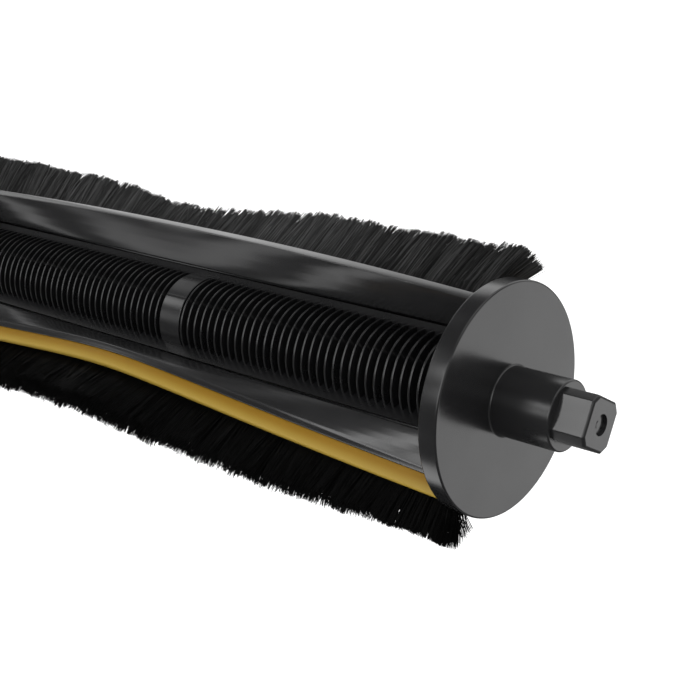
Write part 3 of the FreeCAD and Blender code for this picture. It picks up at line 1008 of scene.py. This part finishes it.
# %% Floor
FLOOR_SIZE, FLOOR_DROP = 24, 0.16
FLOOR_GLOW, FLOOR_GLOW_SHARE = 1.5, 0.65
FLOOR_ROUGH, FLOOR_MOTTLE = 0.9, 3
PALE, PALER = (0.93, 0.93, 0.93), (0.96, 0.96, 0.96)
bpy.ops.mesh.primitive_plane_add(size=FLOOR_SIZE, location=(0, 0, -FLOOR_DROP))
floor = bpy.context.object
floor.name = "floor"
pale_floor, tree, shader, place = new_material("pale_floor", Roughness=FLOOR_ROUGH)
feed(tree, shader, Base_Color=place.noise(FLOOR_MOTTLE).blend(PALE, PALER))
lit = Wire(tree, shader.outputs[0])
glowing = place.node("ShaderNodeEmission", Strength=FLOOR_GLOW)
clear = place.node("ShaderNodeBsdfTransparent")
seen = place.node("ShaderNodeLightPath", out="Is Camera Ray")
mirrored = place.node("ShaderNodeLightPath", out="Is Glossy Ray")
white = place.node("ShaderNodeMixShader", i0=seen * FLOOR_GLOW_SHARE, i1=lit, i2=glowing)
surface = place.node("ShaderNodeMixShader", i0=mirrored, i1=white, i2=clear)
tree.links.new(surface.socket, tree.nodes["Material Output"].inputs["Surface"])
floor.data.materials.append(pale_floor)
print("floor", FLOOR_DROP, "m below the roller's axis")

# %% [markdown]
# ## The room
#
# Black plastic has little colour of its own, and shows its shape by what it mirrors. The room is dim,
# with soft round patches of light where a studio has its lamps and white boards. They could be area
# lamps, but patches in the world stay at the same angles from every piece, so each one is placed for
# the face that mirrors it. A patch has a strength, an angle round the roller, a height, and the two
# angles from its middle at which it is still full and at which it is gone, all in degrees. The camera
# itself sees plain white.

# %% Room
ROOM_DIM = 0.12
PATCHES = (
    # Behind and low on the right, mirrored by the disc's flat face and the square's end
    (1.3, 48, -15, 9, 24),
    (0.3, 40, -10, 20, 60),
    # In front on the left, mirrored by the boss, the disc's rim and the channels' walls
    (5.4, -121, 28, 3, 9),
    (3.4, -115, 11, 5, 11),
    (4.6, -149, 29, 4, 10),
    (1.4, -141, 4, 5, 11),
    (1.6, -144, -25, 4, 8),
    (2.1, -157, -51, 6, 12),
    # Behind on the left, mirrored by the sloping edge of the plain wall and the top of the rim
    (1.5, 137, 33, 6, 13),
    (1.5, 143, 17, 4, 11),
    (1.2, 160, 31, 5, 12),
    (0.8, 180, 43, 6, 12),
    # Broad soft light from the front, the right, the back and above, for the strips and bristles
    (2.6, -87, 20, 12, 28),
    (1.3, -45, 22, 10, 25),
    (1.2, 90, 38, 15, 38),
    (1.2, 0, 70, 15, 40),
)
world = bpy.data.worlds.new("studio")
bpy.context.scene.world = world
world.use_nodes = True
tree = world.node_tree
look = Wire(tree, tree.nodes.new("ShaderNodeTexCoord").outputs["Generated"])
x, y, z = look.split()


def glow_patch(strength, around, height, inner, outer):
    """A soft round patch of light at two angles in degrees, full to `inner` and gone by `outer`."""
    around, height, inner, outer = (math.radians(angle) for angle in (around, height, inner, outer))
    level = math.cos(height)
    facing = level * math.cos(around) * x + level * math.sin(around) * y + math.sin(height) * z
    return strength * facing.between(math.cos(outer), math.cos(inner))


room = sum((glow_patch(*patch) for patch in PATCHES), start=ROOM_DIM)
seen = look.node("ShaderNodeLightPath", out="Is Camera Ray")
glow = look.node("ShaderNodeMix", i0=seen, i2=room, i3=1.0)
feed(tree, tree.nodes["Background"], Strength=glow, Color=(1, 1, 1))
print("room with", len(PATCHES), "patches of light")

# %% [markdown]
# ## The camera
#
# The photograph looks along the roller from its drive end, a little from above. The camera's place, its
# direction and its lens were worked out from the ellipse of the disc and the lines of the rails. The
# Standard view keeps colours as they are written.

# %% Camera
PLACE = Vector((0.0894, -0.1492, 0.0637))
FORWARD = Vector((-0.6286, 0.7176, -0.2999))
SENSOR, LENS = 36.0, 65.94
NEAREST = 0.005
bpy.ops.object.camera_add(location=PLACE)
camera = bpy.context.object
camera.rotation_euler = FORWARD.to_track_quat("-Z", "Y").to_euler()
camera.data.sensor_width = SENSOR
camera.data.lens = LENS
camera.data.clip_start = NEAREST
bpy.context.scene.camera = camera
bpy.context.scene.view_settings.view_transform = "Standard"
print(f"camera {PLACE.length:.3f} m from the drive square, with a lens of {LENS} mm")
